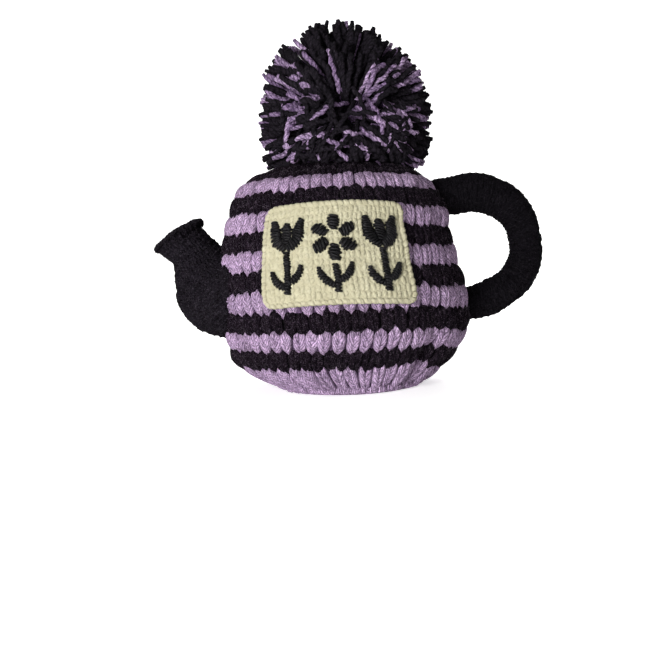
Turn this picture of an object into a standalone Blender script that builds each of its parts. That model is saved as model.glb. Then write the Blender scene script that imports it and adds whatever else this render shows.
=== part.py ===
"""A crocheted tea cosy in the shape of a teapot, standing on its hem.

Metres, +Z up. The origin is the middle of the hem, on the surface that the cosy stands on.
-Y is the front, with the cream panel. The spout is at -X and the handle at +X.
"""

import math
import random

import bmesh
import bpy
from mathutils import Vector

# Driving dimensions
CENTRING = Vector((-0.00285, 0.0021, 0.0))  # puts the middle of the whole part's box over the origin
CLOTH_THICKNESS = 0.006  # chunky crochet, two yarns deep
HEM_WIDTH = 0.007  # the flat edge that stands on the surface
SEAM_GAP = 0.0003  # between two pieces that are sewn together
COURSE_BULGE = 0.0012  # how far the middle of a course stands out past its edges
BULGE_FADES_FROM = 11.5  # the courses of the crown lie flat, counted in courses from the hem

# The body, one row for each edge between two courses, from the hem to the middle of the crown.
# (height, half width, half depth, middle in x)
COURSE_EDGES = (
    (0.0000, 0.0548, 0.0680, 0.0010),
    (0.0190, 0.0834, 0.0790, -0.0044),
    (0.0330, 0.0912, 0.0860, -0.0026),
    (0.0464, 0.0957, 0.0905, -0.0012),
    (0.0617, 0.0970, 0.0920, -0.0026),
    (0.0768, 0.0965, 0.0920, -0.0042),
    (0.0919, 0.0936, 0.0895, -0.0054),
    (0.1065, 0.0914, 0.0870, -0.0057),
    (0.1212, 0.0878, 0.0830, -0.0062),
    (0.1354, 0.0852, 0.0800, -0.0050),
    (0.1496, 0.0797, 0.0740, -0.0060),
    (0.1602, 0.0710, 0.0660, -0.0064),
    (0.1675, 0.0585, 0.0545, -0.0055),
    (0.1715, 0.0435, 0.0405, -0.0040),
    (0.1735, 0.0270, 0.0250, -0.0020),
    (0.1740, 0.0100, 0.0095, 0.0000),
)
CROWN_HEIGHT = 0.1740
COURSES = len(COURSE_EDGES) - 1
RINGS_PER_COURSE = 3
RINGS_PER_COURSE_INSIDE = 1
SIDES_ROUND_BODY = 48

# Soft troughs in the body. (azimuth from the front, height, half angle, half height, depth)
CREASES = (
    (42.0, 0.027, 6.5, 0.026, 0.0052),
    (66.0, 0.012, 8.0, 0.018, 0.0024),
    (-64.0, 0.020, 8.0, 0.022, 0.0022),
    (24.0, 0.004, 7.0, 0.016, 0.0014),
    (118.0, 0.030, 12.0, 0.040, 0.0030),
    (-128.0, 0.045, 14.0, 0.050, 0.0028),
    (172.0, 0.012, 9.0, 0.026, 0.0032),
)

# The spout, along its middle line from inside the body to its lip. (x, z, half width, half depth)
SPOUT_STATIONS = (
    (-0.0740, 0.0790, 0.0365, 0.0420),
    (-0.0905, 0.0795, 0.0385, 0.0445),
    (-0.1005, 0.0828, 0.0372, 0.0410),
    (-0.1078, 0.0890, 0.0322, 0.0335),
    (-0.1132, 0.0968, 0.0258, 0.0262),
    (-0.1172, 0.1046, 0.0205, 0.0205),
    (-0.1207, 0.1110, 0.0180, 0.0180),
    (-0.1248, 0.1160, 0.0180, 0.0180),
    (-0.1288, 0.1199, 0.0200, 0.0200),
    (-0.1308, 0.1231, 0.0219, 0.0219),
)
SPOUT_SIDES = 20
SPOUT_RINGS = 22
LIP_ROUNDING = 0.0032
MOUTH_DIP = 0.0030

# The handle, along its middle line from the upper root to the lower one. (x, z, half width, half depth)
HANDLE_STATIONS = (
    (0.0600, 0.1445, 0.0135, 0.0130),
    (0.0800, 0.1462, 0.0142, 0.0132),
    (0.1020, 0.1484, 0.0149, 0.0135),
    (0.1215, 0.1440, 0.0146, 0.0134),
    (0.1334, 0.1342, 0.0142, 0.0130),
    (0.1410, 0.1206, 0.0132, 0.0125),
    (0.1440, 0.1050, 0.0127, 0.0122),
    (0.1424, 0.0915, 0.0128, 0.0122),
    (0.1350, 0.0788, 0.0131, 0.0124),
    (0.1226, 0.0690, 0.0134, 0.0126),
    (0.1095, 0.0628, 0.0134, 0.0126),
    (0.0970, 0.0605, 0.0130, 0.0126),
    (0.0810, 0.0595, 0.0130, 0.0126),
)
HANDLE_SIDES = 16
HANDLE_RINGS = 40

# The cream panel, sewn to the front
PANEL_HALF_ANGLE = math.radians(32.8)
PANEL_AZIMUTH = math.radians(-2.0)
PANEL_BOTTOM = 0.0640
PANEL_TOP = 0.1385
PANEL_TOP_ARCH = 0.0025  # how much lower the upper edge is at its ends
PANEL_BOTTOM_ARCH = 0.0026  # how much higher the lower edge is in its middle
PANEL_THICKNESS = 0.0030
PANEL_CORNER = 0.0080
PANEL_RIBS = 13
PANEL_RIB_HEIGHT = 0.0006
PANEL_ROWS = 11

# The pompom
POMPOM_CORE_RADIUS = 0.0340
POMPOM_MIDDLE_X = 0.0042
POMPOM_RADII = (0.0680, 0.0665, 0.0756)
POMPOM_DENT = (30.0, 25.0, 0.10)  # angle from the top towards +X, half angle, share of the reach
POMPOM_LOWEST_LOCK = -0.45  # faces of the core that look further down carry no lock
LOCK_ROOT_MARGIN = 0.0007
LOCK_MIDDLE_SHARE = 0.55
LOCK_MIDDLE_GROWTH = 1.40
LOCK_END_GROWTH = 1.35
LOCK_LENGTH_SPREAD = 0.035
LOCK_SWAY = 0.0008
LOCK_SEED = 11

# Colours (linear RGB) of the yarns
DARK_YARN = (0.018, 0.012, 0.020)
LILAC_YARN = (0.330, 0.225, 0.400)
BLACK_YARN = (0.009, 0.008, 0.011)
CREAM_YARN = (0.680, 0.640, 0.440)
WOOL_ROUGHNESS = 0.9


def clear_scene():
    for thing in list(bpy.data.objects):
        bpy.data.objects.remove(thing)


def wool(name, colour):
    """A matt material of one yarn."""
    material = bpy.data.materials.new(name)
    material.use_nodes = True
    shader = material.node_tree.nodes["Principled BSDF"]
    shader.inputs["Base Color"].default_value = (*colour, 1.0)
    shader.inputs["Roughness"].default_value = WOOL_ROUGHNESS
    shader.inputs["Metallic"].default_value = 0.0
    return material


def smooth_row(table, position):
    """The row of a table at a fractional position, on a Catmull-Rom curve through its rows."""
    last = len(table) - 1
    index = min(int(position), last - 1)
    t = position - index
    rows = [table[min(max(index + step, 0), last)] for step in (-1, 0, 1, 2)]
    return tuple(
        0.5 * (2 * b + (c - a) * t + (2 * a - 5 * b + 4 * c - d) * t**2 + (3 * b - a - 3 * c + d) * t**3)
        for a, b, c, d in zip(*rows)
    )


def crease_depth(azimuth, height):
    """How far the soft troughs push the cloth in here."""
    depth = 0.0
    for middle, middle_height, half_angle, half_height, deepest in CREASES:
        turn = (math.degrees(azimuth) - middle + 180.0) % 360.0 - 180.0
        across = turn / half_angle
        along = (height - middle_height) / half_height
        depth += deepest * math.exp(-across * across - along * along)
    return depth


def body_point(course, azimuth, offset, bulging=True):
    """A point of the body's outer face, moved out by offset. Azimuth 0 is the front, +90 degrees is +X."""
    height, half_width, half_depth, middle = smooth_row(COURSE_EDGES, course)
    step = 0.02
    above = smooth_row(COURSE_EDGES, min(course + step, COURSES))
    below = smooth_row(COURSE_EDGES, max(course - step, 0.0))
    rise, spread = above[0] - below[0], above[1] - below[1]
    length = math.hypot(rise, spread)
    outward, upward = rise / length, -spread / length
    if bulging:
        fade = min(1.0, max(0.0, BULGE_FADES_FROM - course))
        offset += COURSE_BULGE * fade * math.sin(math.pi * (course % 1.0)) ** 2
    offset -= crease_depth(azimuth, height)
    return Vector(
        (
            middle + (half_width + outward * offset) * math.sin(azimuth),
            -(half_depth + outward * offset) * math.cos(azimuth),
            max(height + upward * offset, 0.0),
        )
    )


def body_ring(bm, course, offset, flat_height=None, bulging=True):
    ring = []
    for side in range(SIDES_ROUND_BODY):
        point = body_point(course, 2 * math.pi * side / SIDES_ROUND_BODY, offset, bulging)
        if flat_height is not None:
            point.z = flat_height
        ring.append(bm.verts.new(point))
    return ring


def join_rings(bm, rings):
    """Faces between each ring and the next one."""
    for lower, upper in zip(rings, rings[1:]):
        for here in range(len(lower)):
            after = (here + 1) % len(lower)
            bm.faces.new((lower[here], lower[after], upper[after], upper[here]))


def close_ring(bm, ring, peak):
    """A fan from a ring to one point."""
    top = bm.verts.new(peak)
    for here in range(len(ring)):
        bm.faces.new((ring[here], ring[(here + 1) % len(ring)], top))


def finish_object(name, bm, materials):
    """An object of the mesh, with its faces pointing out."""
    bmesh.ops.translate(bm, verts=bm.verts, vec=CENTRING)
    bmesh.ops.recalc_face_normals(bm, faces=bm.faces)
    mesh = bpy.data.meshes.new(name)
    bm.to_mesh(mesh)
    bm.free()
    for material in materials:
        mesh.materials.append(material)
    mesh.shade_smooth()
    thing = bpy.data.objects.new(name, mesh)
    bpy.context.scene.collection.objects.link(thing)
    return thing


def outer_courses(rings_per_course):
    """Course positions from just above the hem to the last edge of the crown."""
    return [index / rings_per_course for index in range(1, COURSES * rings_per_course + 1)]


def make_body(lilac, dark):
    """The hollow body, open at the hem and closed at the crown, in stripes one course high."""
    bm = bmesh.new()
    outside = [body_ring(bm, 0.0, 0.0, flat_height=0.0)]
    outside += [body_ring(bm, course, 0.0) for course in outer_courses(RINGS_PER_COURSE)]
    inside = [body_ring(bm, 0.0, -HEM_WIDTH, flat_height=0.0, bulging=False)]
    inside += [
        body_ring(bm, course, -CLOTH_THICKNESS, bulging=False)
        for course in outer_courses(RINGS_PER_COURSE_INSIDE)
    ]
    join_rings(bm, outside)
    join_rings(bm, inside)
    join_rings(bm, [inside[0], outside[0]])
    close_ring(bm, outside[-1], (0.0, 0.0, CROWN_HEIGHT))
    close_ring(bm, inside[-1], (0.0, 0.0, CROWN_HEIGHT - CLOTH_THICKNESS))
    faces_per_course = SIDES_ROUND_BODY * RINGS_PER_COURSE
    bm.faces.ensure_lookup_table()
    for index in range(COURSES * faces_per_course):
        bm.faces[index].material_index = (index // faces_per_course) % 2
    return finish_object("body", bm, (lilac, dark))


def make_seam_cutter():
    """The body's outer shape as a filled solid, one seam gap larger, that the sewn-on pieces are cut with."""
    bm = bmesh.new()
    rings = [body_ring(bm, 0.0, SEAM_GAP, flat_height=0.0)]
    rings += [body_ring(bm, course, SEAM_GAP) for course in outer_courses(RINGS_PER_COURSE)]
    join_rings(bm, rings)
    close_ring(bm, rings[0], (0.0, 0.0, 0.0))
    close_ring(bm, rings[-1], (0.0, 0.0, CROWN_HEIGHT + SEAM_GAP))
    cutter = finish_object("seam_cutter", bm, ())
    cutter.hide_render = True
    cutter.display_type = "WIRE"
    return cutter


def sweep(name, stations, rings, sides, material, end_steps=()):
    """A tube along stations in the XZ plane. Each end step is (distance past the end, share of its section)."""
    bm = bmesh.new()
    last = len(stations) - 1
    made = [tube_ring(bm, stations, last * ring / rings, 0.0, 1.0, sides) for ring in range(rings + 1)]
    made += [tube_ring(bm, stations, float(last), past_end, share, sides) for past_end, share in end_steps]
    join_rings(bm, made)
    for ring in (made[0], made[-1]):
        middle = sum((vertex.co for vertex in ring), Vector()) / len(ring)
        close_ring(bm, ring, middle)
    return finish_object(name, bm, (material,))


def tube_ring(bm, stations, position, past_end, share, sides):
    x, z, half_width, half_depth = smooth_row(stations, position)
    step = 0.05
    ahead = smooth_row(stations, min(position + step, len(stations) - 1))
    behind = smooth_row(stations, max(position - step, 0.0))
    along = Vector((ahead[0] - behind[0], 0.0, ahead[1] - behind[1])).normalized()
    across = Vector((-along.z, 0.0, along.x)) * half_width * share
    sideways = Vector((0.0, half_depth * share, 0.0))
    middle = Vector((x, 0.0, z)) + along * past_end
    turns = [2 * math.pi * side / sides for side in range(sides)]
    return [bm.verts.new(middle + across * math.cos(turn) + sideways * math.sin(turn)) for turn in turns]


def cut_to_body(piece, cutter):
    cut = piece.modifiers.new("seam", "BOOLEAN")
    cut.operation = "DIFFERENCE"
    cut.object = cutter


def make_spout(material, cutter):
    """The stuffed spout: a round belly, a narrow neck and a rounded, slightly dished lip."""
    lip = (
        (LIP_ROUNDING, 0.99),
        (LIP_ROUNDING * 1.6, 0.88),
        (LIP_ROUNDING * 1.6 - MOUTH_DIP * 0.5, 0.62),
        (LIP_ROUNDING * 1.6 - MOUTH_DIP, 0.25),
    )
    spout = sweep("spout", SPOUT_STATIONS, SPOUT_RINGS, SPOUT_SIDES, material, lip)
    cut_to_body(spout, cutter)
    return spout


def make_handle(material, cutter):
    """The stuffed handle, one tube bent into a loop."""
    handle = sweep("handle", HANDLE_STATIONS, HANDLE_RINGS, HANDLE_SIDES, material)
    cut_to_body(handle, cutter)
    return handle


def course_at(height):
    """The course position whose edge curve passes this height."""
    low, high = 0.0, float(COURSES)
    for _ in range(40):
        middle = (low + high) / 2
        if smooth_row(COURSE_EDGES, middle)[0] < height:
            low = middle
        else:
            high = middle
    return low


def panel_corner_inset(distance):
    """How far a corner of the panel is rounded off at this distance from its upper or lower edge."""
    if distance >= PANEL_CORNER:
        return 0.0
    rest = PANEL_CORNER - distance
    return PANEL_CORNER - math.sqrt(PANEL_CORNER**2 - rest**2)


def panel_row_shares():
    """Heights of the panel's rows as shares, closer together at the rounded corners."""
    ends = (0.0, 0.022, 0.075)
    middle_rows = PANEL_ROWS - 2 * len(ends)
    middle = [0.15 + 0.70 * index / (middle_rows - 1) for index in range(middle_rows)]
    return [*ends, *middle, *(1.0 - share for share in reversed(ends))]


def make_panel(material):
    """The cream panel: a thin curved sheet with upright ribs and rounded corners, on the courses of the front."""
    bm = bmesh.new()
    columns = 2 * PANEL_RIBS
    grids = []
    for face_side in (0, 1):
        grid = []
        for share in panel_row_shares():
            edge_distance = min(share, 1.0 - share) * (PANEL_TOP - PANEL_BOTTOM)
            inset = panel_corner_inset(edge_distance)
            row = []
            for column in range(columns + 1):
                across = 2.0 * column / columns - 1.0
                top = PANEL_TOP - PANEL_TOP_ARCH * across**2
                bottom = PANEL_BOTTOM + PANEL_BOTTOM_ARCH * (1.0 - across**2)
                course = course_at(bottom + share * (top - bottom))
                half_depth = smooth_row(COURSE_EDGES, course)[2]
                azimuth = PANEL_AZIMUTH + across * (PANEL_HALF_ANGLE - inset / half_depth)
                rib = PANEL_RIB_HEIGHT * (column % 2)
                offset = COURSE_BULGE + SEAM_GAP + face_side * (PANEL_THICKNESS + rib)
                row.append(bm.verts.new(body_point(course, azimuth, offset, bulging=False)))
            grid.append(row)
        grids.append(grid)
    back, front = grids
    for grid in grids:
        for lower, upper in zip(grid, grid[1:]):
            for here in range(columns):
                bm.faces.new((lower[here], lower[here + 1], upper[here + 1], upper[here]))
    outlines = [
        [*grid[0], *(row[-1] for row in grid[1:-1]), *reversed(grid[-1]), *(row[0] for row in reversed(grid[1:-1]))]
        for grid in (back, front)
    ]
    join_rings(bm, outlines)
    return finish_object("panel", bm, (material,))


def pompom_reach(direction):
    """How far the pompom reaches from its middle, with the dent in its upper +X side."""
    dent_angle, half_angle, dent_share = POMPOM_DENT
    turn = math.degrees(math.atan2(direction.x, direction.z)) - dent_angle
    flatness = math.hypot(direction.x, direction.z)
    dent = dent_share * flatness * math.exp(-((turn / half_angle) ** 2))
    return Vector([radius * part for radius, part in zip(POMPOM_RADII, direction)]) * (1.0 - dent)


def grow_lock(bm, face, steps):
    """Draws a face of the core out into a lock, through steps of (middle, growth of its cross-section)."""
    root_middle = face.calc_center_median()
    root = [vertex.co - root_middle for vertex in face.verts]
    normal = face.normal.copy()
    for middle, growth in steps:
        face = bmesh.ops.extrude_discrete_faces(bm, faces=[face])["faces"][0]
        turned = normal.rotation_difference((middle - root_middle).normalized())
        for vertex, spoke in zip(face.verts, root):
            vertex.co = middle + (turned @ spoke) * growth


def make_pompom(material):
    """The pompom: three-sided locks of yarn that stand apart, fused at their roots into a small core."""
    chance = random.Random(LOCK_SEED)
    middle = Vector((POMPOM_MIDDLE_X, 0.0, CROWN_HEIGHT + SEAM_GAP + POMPOM_CORE_RADIUS))
    bm = bmesh.new()
    bmesh.ops.create_icosphere(bm, subdivisions=3, radius=POMPOM_CORE_RADIUS)
    bmesh.ops.translate(bm, verts=bm.verts, vec=middle)
    roots = [face for face in bm.faces if face.normal.z > POMPOM_LOWEST_LOCK]
    bmesh.ops.inset_individual(bm, faces=roots, thickness=LOCK_ROOT_MARGIN, use_even_offset=True)
    for face in roots:
        start = face.calc_center_median()
        end = middle + pompom_reach(face.normal) * (1.0 + chance.uniform(-LOCK_LENGTH_SPREAD, LOCK_LENGTH_SPREAD))
        sway = Vector([chance.uniform(-LOCK_SWAY, LOCK_SWAY) for _ in range(3)])
        halfway = start.lerp(end, LOCK_MIDDLE_SHARE) + sway
        grow_lock(bm, face, ((halfway, LOCK_MIDDLE_GROWTH), (end, LOCK_END_GROWTH)))
    return finish_object("pompom", bm, (material,))


def main():
    clear_scene()
    lilac = wool("lilac_yarn", LILAC_YARN)
    dark = wool("dark_yarn", DARK_YARN)
    black = wool("black_yarn", BLACK_YARN)
    cream = wool("cream_yarn", CREAM_YARN)
    make_body(lilac, dark)
    cutter = make_seam_cutter()
    make_spout(dark, cutter)
    make_handle(black, cutter)
    make_panel(cream)
    make_pompom(dark)


main()
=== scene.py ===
"""The looks of the crocheted tea cosy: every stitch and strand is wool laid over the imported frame.

Metres, +Z up, in the same frame as the part. -Y is the front, the spout is at -X and the handle at +X.
"""

import math

import bpy
import numpy as np
from mathutils import Euler, Matrix, Vector


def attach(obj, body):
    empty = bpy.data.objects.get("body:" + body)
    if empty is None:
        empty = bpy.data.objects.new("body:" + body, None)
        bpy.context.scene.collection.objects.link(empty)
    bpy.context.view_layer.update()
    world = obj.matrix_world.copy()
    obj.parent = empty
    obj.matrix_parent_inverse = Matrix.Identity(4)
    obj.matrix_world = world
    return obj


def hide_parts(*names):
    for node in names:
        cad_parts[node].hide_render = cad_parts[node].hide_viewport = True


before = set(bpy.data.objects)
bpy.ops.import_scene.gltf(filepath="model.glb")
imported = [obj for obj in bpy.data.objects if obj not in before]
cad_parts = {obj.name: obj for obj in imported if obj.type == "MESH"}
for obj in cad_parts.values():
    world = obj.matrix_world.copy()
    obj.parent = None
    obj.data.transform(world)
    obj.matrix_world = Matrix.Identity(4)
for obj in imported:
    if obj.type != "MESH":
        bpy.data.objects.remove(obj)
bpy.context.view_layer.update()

# Sizes of the part, but for three: the fold at 42 degrees is deeper, the spout flares later and the
# pompom's dent is shallower
CENTRING = np.array((-0.00285, 0.0021, 0.0))
COURSE_EDGES = np.array((
    # height, half width, half depth, middle in x
    (0.0000, 0.0548, 0.0680, 0.0010),
    (0.0190, 0.0834, 0.0790, -0.0044),
    (0.0330, 0.0912, 0.0860, -0.0026),
    (0.0464, 0.0957, 0.0905, -0.0012),
    (0.0617, 0.0970, 0.0920, -0.0026),
    (0.0768, 0.0965, 0.0920, -0.0042),
    (0.0919, 0.0936, 0.0895, -0.0054),
    (0.1065, 0.0914, 0.0870, -0.0057),
    (0.1212, 0.0878, 0.0830, -0.0062),
    (0.1354, 0.0852, 0.0800, -0.0050),
    (0.1496, 0.0797, 0.0740, -0.0060),
    (0.1602, 0.0710, 0.0660, -0.0064),
    (0.1675, 0.0585, 0.0545, -0.0055),
    (0.1715, 0.0435, 0.0405, -0.0040),
    (0.1735, 0.0270, 0.0250, -0.0020),
    (0.1740, 0.0100, 0.0095, 0.0000),
))
COURSES = len(COURSE_EDGES) - 1
CROWN_HEIGHT = 0.1740
CREASES = (
    # azimuth from the front, height, half angle, half height, depth
    (42.0, 0.027, 5.5, 0.026, 0.0072),
    (66.0, 0.012, 8.0, 0.018, 0.0024),
    (-64.0, 0.020, 8.0, 0.022, 0.0022),
    (24.0, 0.004, 7.0, 0.016, 0.0014),
    (118.0, 0.030, 12.0, 0.040, 0.0030),
    (-128.0, 0.045, 14.0, 0.050, 0.0028),
    (172.0, 0.012, 9.0, 0.026, 0.0032),
)
SPOUT_STATIONS = np.array((
    # x, z, half width, half depth
    (-0.0740, 0.0790, 0.0365, 0.0420),
    (-0.0905, 0.0795, 0.0385, 0.0445),
    (-0.1005, 0.0828, 0.0372, 0.0410),
    (-0.1078, 0.0890, 0.0322, 0.0335),
    (-0.1132, 0.0968, 0.0258, 0.0262),
    (-0.1172, 0.1046, 0.0205, 0.0205),
    (-0.1207, 0.1110, 0.0180, 0.0180),
    (-0.1248, 0.1160, 0.0180, 0.0180),
    (-0.1288, 0.1199, 0.0184, 0.0190),
    (-0.1308, 0.1231, 0.0216, 0.0216),
))
HANDLE_STATIONS = np.array((
    # x, z, half width, half depth
    (0.0600, 0.1445, 0.0135, 0.0130),
    (0.0800, 0.1462, 0.0142, 0.0132),
    (0.1020, 0.1484, 0.0149, 0.0135),
    (0.1215, 0.1440, 0.0146, 0.0134),
    (0.1334, 0.1342, 0.0142, 0.0130),
    (0.1410, 0.1206, 0.0132, 0.0125),
    (0.1440, 0.1050, 0.0127, 0.0122),
    (0.1424, 0.0915, 0.0128, 0.0122),
    (0.1350, 0.0788, 0.0131, 0.0124),
    (0.1226, 0.0690, 0.0134, 0.0126),
    (0.1095, 0.0628, 0.0134, 0.0126),
    (0.0970, 0.0605, 0.0130, 0.0126),
    (0.0810, 0.0595, 0.0130, 0.0126),
))
PANEL_HALF_ANGLE = math.radians(32.8)
PANEL_AZIMUTH = math.radians(-2.0)
PANEL_BOTTOM = 0.0640
PANEL_TOP = 0.1385
PANEL_TOP_ARCH = 0.0025
PANEL_BOTTOM_ARCH = 0.0026
PANEL_CORNER = 0.0080
PANEL_BACK = 0.0016  # offset of its back from the body's faces
POMPOM_MIDDLE = np.array((0.0042, 0.0, CROWN_HEIGHT + 0.0003 + 0.0340)) + CENTRING
POMPOM_RADII = np.array((0.0680, 0.0665, 0.0756))
POMPOM_DENT = (30.0, 25.0, 0.07)  # angle from the top towards +X, half angle, share of the reach

# Sizes of the yarn and the stitches
YARN = 0.00230  # radius of the chunky yarn in a stitch
PLY_TURN = 0.0096  # length of one turn of its plies
CLOTH_FACE = -0.0022  # the cloth behind the stitches, offset from the part's outer face
CLOTH_BACK = -0.0060
STITCHES_ROUND = 60
HEM_STITCHES = 48
HEM_SPLIT = 0.19  # where the first course is worked in two rows
CROWN_STITCHES = {11: 56, 12: 46, 13: 32, 14: 16}
SAG_MIDDLE = 72.0  # azimuth where the courses hang lowest, in degrees
SAG_HALF_ANGLE = 22.0
SAG_DEPTH = 0.38  # in courses

random = np.random.default_rng(28)


def reseed(seed):
    """Starts chance afresh, so that a change to one piece leaves the next ones as they are."""
    global random
    random = np.random.default_rng(seed)


# Curves and surfaces
def along(table, position):
    """Rows of a table at fractional positions, on a Catmull-Rom curve through its rows."""
    position = np.clip(np.asarray(position, float), 0, len(table) - 1)
    index = np.minimum(position.astype(int), len(table) - 2)
    t = (position - index)[..., None]
    a, b, c, d = (table[np.clip(index + step, 0, len(table) - 1)] for step in (-1, 0, 1, 2))
    return 0.5 * (2 * b + (c - a) * t + (2 * a - 5 * b + 4 * c - d) * t**2 + (3 * b - a - 3 * c + d) * t**3)


def unit(vectors):
    return vectors / np.maximum(np.linalg.norm(vectors, axis=-1, keepdims=True), 1e-12)


def crease_depth(azimuth, height):
    """How far the soft troughs push the cloth in."""
    depth = 0.0
    for middle, middle_height, half_angle, half_height, deepest in CREASES:
        turn = (np.degrees(azimuth) - middle + 180.0) % 360.0 - 180.0
        away = (turn / half_angle) ** 2 + ((height - middle_height) / half_height) ** 2
        depth = depth + deepest * np.exp(-away)
    return depth


def body_point(course, azimuth, offset=0.0):
    """Points on the body's outer face, moved out by offset. Azimuth 0 is the front and +90 degrees is +X."""
    course, azimuth, offset = np.broadcast_arrays(
        np.asarray(course, float), np.asarray(azimuth, float), np.asarray(offset, float)
    )
    row = along(COURSE_EDGES, course)
    slope = along(COURSE_EDGES, course + 0.02) - along(COURSE_EDGES, course - 0.02)
    length = np.maximum(np.hypot(slope[..., 0], slope[..., 1]), 1e-9)
    outward = slope[..., 0] / length
    upward = -slope[..., 1] / length
    push = offset - crease_depth(azimuth, row[..., 0])
    x = row[..., 3] + (row[..., 1] + outward * push) * np.sin(azimuth)
    y = -(row[..., 2] + outward * push) * np.cos(azimuth)
    z = np.maximum(row[..., 0] + upward * push, 0.0)
    return np.stack((x, y, z), -1) + CENTRING


def body_out(course, azimuth):
    """The direction straight out of the body."""
    around = body_point(course, np.asarray(azimuth) + 0.01) - body_point(course, np.asarray(azimuth) - 0.01)
    above = np.minimum(np.asarray(course, float) + 0.03, COURSES)
    below = np.maximum(np.asarray(course, float) - 0.03, 0.0)
    up = body_point(above, azimuth) - body_point(below, azimuth)
    return unit(np.cross(around, up))


def sagged(level, azimuth):
    """Levels of the courses, which hang lower beyond the fold at the right."""
    turn = (np.degrees(azimuth) - SAG_MIDDLE + 180.0) % 360.0 - 180.0
    share = np.interp(level, (0.0, 1.0, 3.0, 4.0, 5.5, 7.0), (0.0, 0.95, 1.0, 0.55, 0.2, 0.0))
    return level - SAG_DEPTH * share * np.exp(-((turn / SAG_HALF_ANGLE) ** 2))


HEIGHT_STEPS = np.linspace(0.0, COURSES, 600)
HEIGHTS = along(COURSE_EDGES, HEIGHT_STEPS)[:, 0]


def course_at(height):
    return np.interp(height, HEIGHTS, HEIGHT_STEPS)


def crown_height(x, y):
    """Height of the crown's surface over a place in plan."""
    rows = along(COURSE_EDGES, np.linspace(10.5, COURSES, 60))
    share = np.hypot((x - CENTRING[0] + 0.004) / rows[0, 1], (y - CENTRING[1]) / rows[0, 2])
    return np.interp(-share, -rows[:, 1] / rows[0, 1], rows[:, 0])


# Yarn as mesh
def tubes(lines, radii, out, sides, plies=2, turn=PLY_TURN, flatten=1.0):
    """Round yarn along many lines at once. lines and out are (tubes, steps, 3) and radii is (tubes, steps).

    The first texture coordinate counts its twisted plies. The second is the length along it in centimetres.
    """
    count, steps, _ = lines.shape
    radii = np.broadcast_to(radii, (count, steps))
    tangent = unit(np.gradient(lines, axis=1))
    side = unit(np.cross(tangent, out))
    out = np.cross(side, tangent)
    run = np.zeros((count, steps))
    run[:, 1:] = np.cumsum(np.linalg.norm(np.diff(lines, axis=1), axis=-1), axis=1)
    angle = 2 * math.pi * np.arange(sides) / sides + math.pi
    offset = (
        (radii[..., None] * np.cos(angle) * flatten)[..., None] * out[:, :, None, :]
        + (radii[..., None] * np.sin(angle))[..., None] * side[:, :, None, :]
    )
    points = (lines[:, :, None, :] + offset).reshape(-1, 3)

    start = np.arange(count)[:, None, None] * steps * sides
    ring = start + np.arange(steps - 1)[None, :, None] * sides
    here = np.arange(sides)[None, None, :]
    after = (here + 1) % sides
    quads = np.stack((ring + here, ring + after, ring + sides + after, ring + sides + here), -1)
    first = start[:, 0] + np.arange(sides)[::-1][None, :]
    last = start[:, 0] + (steps - 1) * sides + np.arange(sides)[None, :]

    start_turn = random.uniform(0.0, 1.0, count)[:, None, None]
    around = np.broadcast_to(here / sides, quads.shape[:3])
    behind = np.broadcast_to(run[:, :-1, None], quads.shape[:3])
    ahead = np.broadcast_to(run[:, 1:, None], quads.shape[:3])
    corners = []
    beyond = around + 1 / sides
    for share, length in ((around, behind), (beyond, behind), (beyond, ahead), (around, ahead)):
        corners += [plies * (share - length / turn) + start_turn, 100.0 * length]
    return {
        "points": points,
        "quads": quads.reshape(-1, 4),
        "caps": np.concatenate((first, last)),
        "corners": np.stack(corners, -1).reshape(-1, 4, 2),
        "shade": np.repeat(random.uniform(0.0, 1.0, count), steps * sides),
    }


def joined(parts):
    """Several batches of tubes as one."""
    shift = np.cumsum([0] + [len(part["points"]) for part in parts[:-1]])
    return {
        "points": np.concatenate([part["points"] for part in parts]),
        "quads": np.concatenate([part["quads"] + by for part, by in zip(parts, shift)]),
        "caps": [row.tolist() for part, by in zip(parts, shift) for row in part["caps"] + by],
        "corners": np.concatenate([part["corners"] for part in parts]),
        "shade": np.concatenate([part["shade"] for part in parts]),
    }


def yarn_piece(name, parts, material):
    """One object made of batches of tubes."""
    batch = joined(parts)
    mesh = bpy.data.meshes.new(name)
    mesh.from_pydata(batch["points"].tolist(), [], batch["quads"].tolist() + batch["caps"])
    paint(mesh, batch["corners"], batch["shade"])
    return placed(name, mesh, (material,))


def paint(mesh, corners, shade):
    """Stores the texture coordinates of the first faces and the tone of every point, which in places holds
    painted shade.
    """
    layer = mesh.uv_layers.new(name="along_yarn")
    flat = np.zeros((len(mesh.loops), 2))
    flat[: len(corners) * 4] = corners.reshape(-1, 2)
    layer.data.foreach_set("uv", flat.ravel())
    tone_and_shade = mesh.attributes.new("tone_and_shade", "FLOAT", "POINT")
    tone_and_shade.data.foreach_set("value", shade)


def placed(name, mesh, materials):
    for material in materials:
        mesh.materials.append(material)
    mesh.shade_smooth()
    thing = bpy.data.objects.new(name, mesh)
    bpy.context.scene.collection.objects.link(thing)
    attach(thing, "root")
    return thing


def eased(rows, steps):
    """A short table of control rows as a smooth run of steps."""
    return along(np.array(rows), np.linspace(0, len(rows) - 1, steps))


def unevenness(points, size, seed):
    """A smooth random field over space, about -1 to 1, that changes over the given size."""
    chance = np.random.default_rng(seed)
    total = 0.0
    for _ in range(8):
        wave = unit(chance.normal(0, 1, 3)) * (2 * math.pi / size) * chance.uniform(0.6, 1.3)
        total = total + np.cos(points @ wave + chance.uniform(0, 2 * math.pi))
    return total / 4.0


# Materials
MIX_A, MIX_B, MIX_COLOUR = 6, 7, 2  # places of a colour Mix node's sockets


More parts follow.
